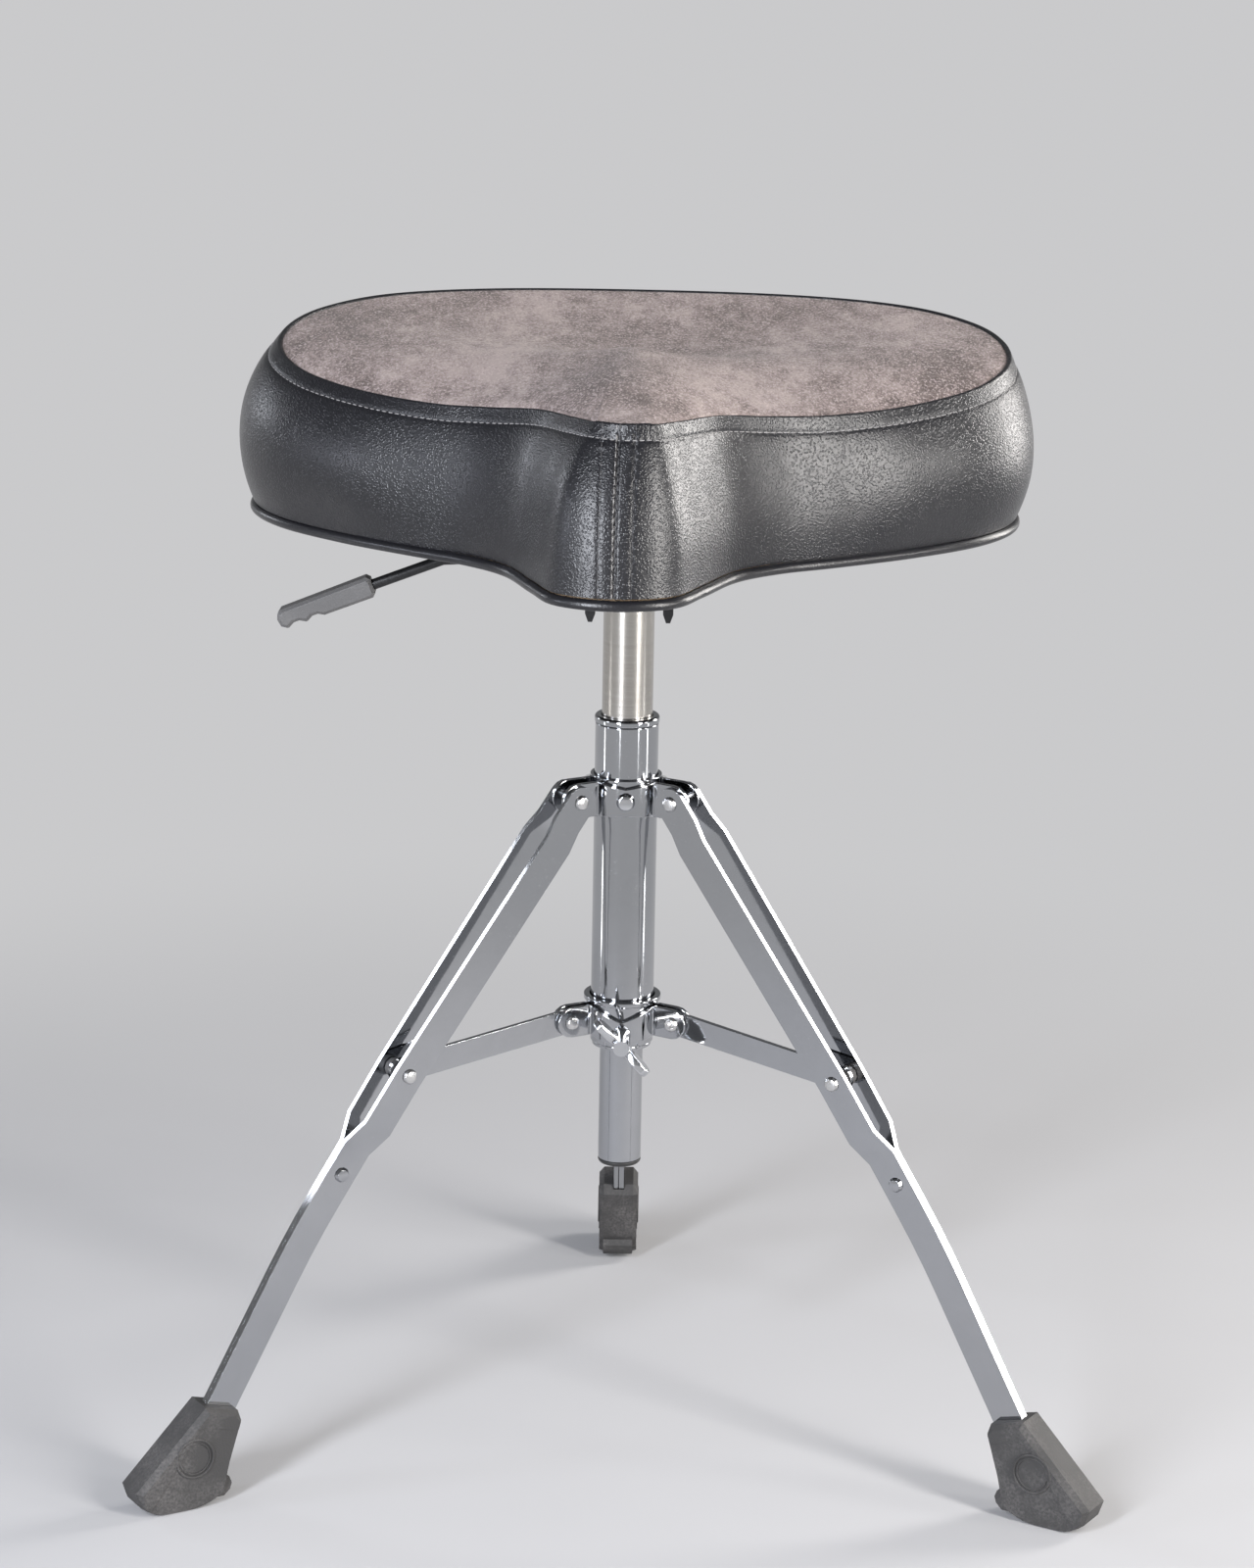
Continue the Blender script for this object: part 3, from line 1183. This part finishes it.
def build_mount(lift, looks):
    part("mount_plate", mount_mesh(), looks["black_metal"], lift)
    under = -UNDER_BOARD - MOUNT_THICKNESS - MOUNT_BOSS_HEIGHT - FIT
    bolt = turned(
        (
            (0.0, under - MOUNT_BOLT_HEAD_HEIGHT),
            (MOUNT_BOLT_HEAD_RADIUS, under - MOUNT_BOLT_HEAD_HEIGHT),
            (MOUNT_BOLT_HEAD_RADIUS, under),
            (MOUNT_BOLT_RADIUS, under),
            (MOUNT_BOLT_RADIUS, MOUNT_BOLT_IN_BOARD),
            (0.0, MOUNT_BOLT_IN_BOARD),
        ),
        6,
    )
    for number, (x, y) in enumerate(bolt_places(), 1):
        part(f"mount_bolt_{number}", bolt.copy(), looks["steel"], lift, (x, y, 0))


# ---------------------------------------------------------------- seat


def saddle_rows():
    """The closed outline's control rows: the right half, then the left half mirrored."""
    right = [Vector(row) for row in SADDLE]
    left = [Vector((-row[0], *row[1:])) for row in SADDLE[-2:0:-1]]
    return right + left


def saddle_rings():
    """Smooth rows all round the saddle, with the outward direction at each."""
    rows = saddle_rows()
    count = len(rows)
    smooth = []
    for i in range(count):
        p0, p1, p2, p3 = (rows[(i + k) % count] for k in (-1, 0, 1, 2))
        for step in range(SADDLE_STEPS):
            t = step / SADDLE_STEPS
            second = 2 * p0 - 5 * p1 + 4 * p2 - p3
            third = 3 * p1 - p0 - 3 * p2 + p3
            smooth.append(0.5 * (2 * p1 + (p2 - p0) * t + second * t**2 + third * t**3))
    total = len(smooth)
    outward = []
    for i in range(total):
        way = smooth[(i + 1) % total] - smooth[i - 1]
        outward.append(Vector((way[1], -way[0])).normalized())
    return list(zip(smooth, outward))


def outline_at(offset, height):
    """The base outline moved outwards by an offset."""
    return [(row[0] + way.x * offset, row[1] + way.y * offset, height) for row, way in saddle_rings()]


def side_point(row, way, share, inset):
    """A point on the side of the cushion at a share of its height, inside its outer skin by an inset."""
    swell = row[3] * 4 * share * (1 - share) - row[2] * share**2 - inset
    return row[0] + way.x * swell, row[1] + way.y * swell, row[4] * share


def side_ring(share, inset):
    return [side_point(row, way, share, inset) for row, way in saddle_rings()]


def level_ring(height, inset):
    return [side_point(row, way, height / row[4], inset) for row, way in saddle_rings()]


def swelling(place):
    """How far the pommel stands up, or the hollows for the thighs lie down, at a place on the top."""
    total = 0.0
    for x, y, spread, height in SADDLE_SWELLS:
        away = (place - Vector((x, y))).length / spread
        total += height * math.exp(-(away**2) / 2)
    return total


def top_ring(reach, inset, lower):
    """A ring on the underside of the seat's top, a share of the way out from the middle."""
    ring = []
    for (x, y, _), (row, _) in zip(side_ring(1.0, inset), saddle_rings()):
        blend = reach**3
        height = row[4] * blend + SADDLE_DISH_HEIGHT * (1 - blend) + SADDLE_PUFF * (1 - reach**8)
        place = Vector((x * reach, SADDLE_MIDDLE_Y + (y - SADDLE_MIDDLE_Y) * reach))
        height += (1 - reach**6) * swelling(place)
        ring.append((place.x, place.y, height - lower))
    return ring


SIDE_SHARES = (0.2, 0.4, 0.6, 0.8, 0.93, 1.0)
TOP_REACHES = (1.0, 0.93, 0.82, 0.68, 0.52, 0.3)


def lowered(ring, amount):
    return [(x, y, z - amount) for x, y, z in ring]


def build_seat(lift, looks):
    saddle = empty("saddle", lift, turn_z=SEAT_TURN)
    back = Matrix.Rotation(-math.radians(SEAT_TURN), 3, "Z")
    bolts = [back @ Vector((x, y, 0)) for x, y in bolt_places()]
    board_inset = PIPING_RADIUS + FIT
    board = skinned([outline_at(-board_inset, 0.0), outline_at(-board_inset, BOARD_THICKNESS)])
    deep = 2 * (MOUNT_BOLT_IN_BOARD + FIT)
    drills = [cylinder(MOUNT_BOLT_RADIUS + FIT, deep, bolt) for bolt in bolts]
    part("seat_board", cut(board, *drills), looks["plywood"], saddle)

    cover = skinned(
        [outline_at(-DUST_COVER_INSET, -FIT - DUST_COVER_THICKNESS), outline_at(-DUST_COVER_INSET, -FIT)]
    )
    through = [cylinder(MOUNT_BOLT_RADIUS + FIT, THROUGH, bolt) for bolt in bolts]
    part("dust_cover", cut(cover, *through), looks["cloth"], saddle)

    piping = []
    for step in range(CORD_ROUND):
        angle = math.tau * step / CORD_ROUND
        aside = PIPING_RADIUS * math.cos(angle)
        height = PIPING_RADIUS - PIPING_BELOW_BOARD + PIPING_RADIUS * math.sin(angle)
        piping.append(outline_at(aside, height))
    part("piping", skinned(piping, closed_tube=True), looks["leather"], saddle)

    foam_bottom = BOARD_THICKNESS + FIT
    piping_top = 2 * PIPING_RADIUS - PIPING_BELOW_BOARD
    band = []
    for inset in (0.0, BAND_THICKNESS):
        rings = [level_ring(piping_top + FIT, inset), level_ring(foam_bottom, inset)]
        rings += [side_ring(share, inset) for share in SIDE_SHARES]
        rings[-1] = lowered(rings[-1], FIT)
        band.append(rings)
    part("side_band", skinned(band[0] + band[1][::-1], closed_tube=True), looks["leather"], saddle)

    low = [top_ring(reach, 0.0, 0.0) for reach in TOP_REACHES]
    high = [top_ring(reach, 0.0, -TOP_THICKNESS) for reach in TOP_REACHES]
    part("suede_top", skinned(low[::-1] + high), looks["suede"], saddle)

    foam_inset = BAND_THICKNESS + FOAM_EASE
    sides = [level_ring(foam_bottom, foam_inset)]
    sides += [side_ring(share, foam_inset) for share in SIDE_SHARES[:-1]]
    tops = [top_ring(reach, foam_inset, FOAM_EASE) for reach in TOP_REACHES]
    part("seat_foam", skinned(sides + tops), looks["foam"], saddle)


# ---------------------------------------------------------------- the whole throne


def column_place():
    """Where the column stands along Y: the origin lies half way between the nose and the rear toe."""
    nose = min(y for _, y, _ in side_ring(SIDE_SHARES[0], 0.0))
    toe = MOUTH_RADIUS + max(FOOT_TOE_REACH, FOOT_TOE_UNDER[0])
    return -(nose + toe) / 2


def clear_scene():
    for item in list(bpy.data.objects):
        bpy.data.objects.remove(item)


def build():
    clear_scene()
    looks = {
        "chrome": material("chrome", (0.86, 0.87, 0.89), 0.08, 1.0),
        "steel": material("zinc_steel", (0.72, 0.72, 0.73), 0.25, 1.0),
        "satin_steel": material("satin_steel", (0.66, 0.65, 0.63), 0.30, 1.0),
        "black_metal": material("black_metal", (0.02, 0.02, 0.022), 0.35, 0.6),
        "black_plastic": material("black_plastic", (0.02, 0.02, 0.02), 0.5),
        "grey_plastic": material("grey_plastic", (0.32, 0.32, 0.33), 0.45),
        "rubber": material("rubber", (0.055, 0.055, 0.057), 0.7),
        "leather": material("leatherette", (0.022, 0.022, 0.026), 0.42),
        "suede": material("suede", (0.30, 0.27, 0.26), 0.95),
        "foam": material("foam", (0.75, 0.72, 0.60), 0.95),
        "plywood": material("plywood", (0.55, 0.40, 0.24), 0.7),
        "cloth": material("black_cloth", (0.015, 0.015, 0.015), 0.95),
    }
    throne = empty("throne", location=(0, column_place(), 0))
    stub_floor = build_column(throne, looks)
    build_upper_collar(throne, looks)
    build_lower_collar(throne, looks)
    build_legs(throne, looks)
    lift = build_gas_lift(throne, looks, stub_floor)
    build_mount(lift, looks)
    build_lever(lift, looks)
    build_seat(lift, looks)


build()
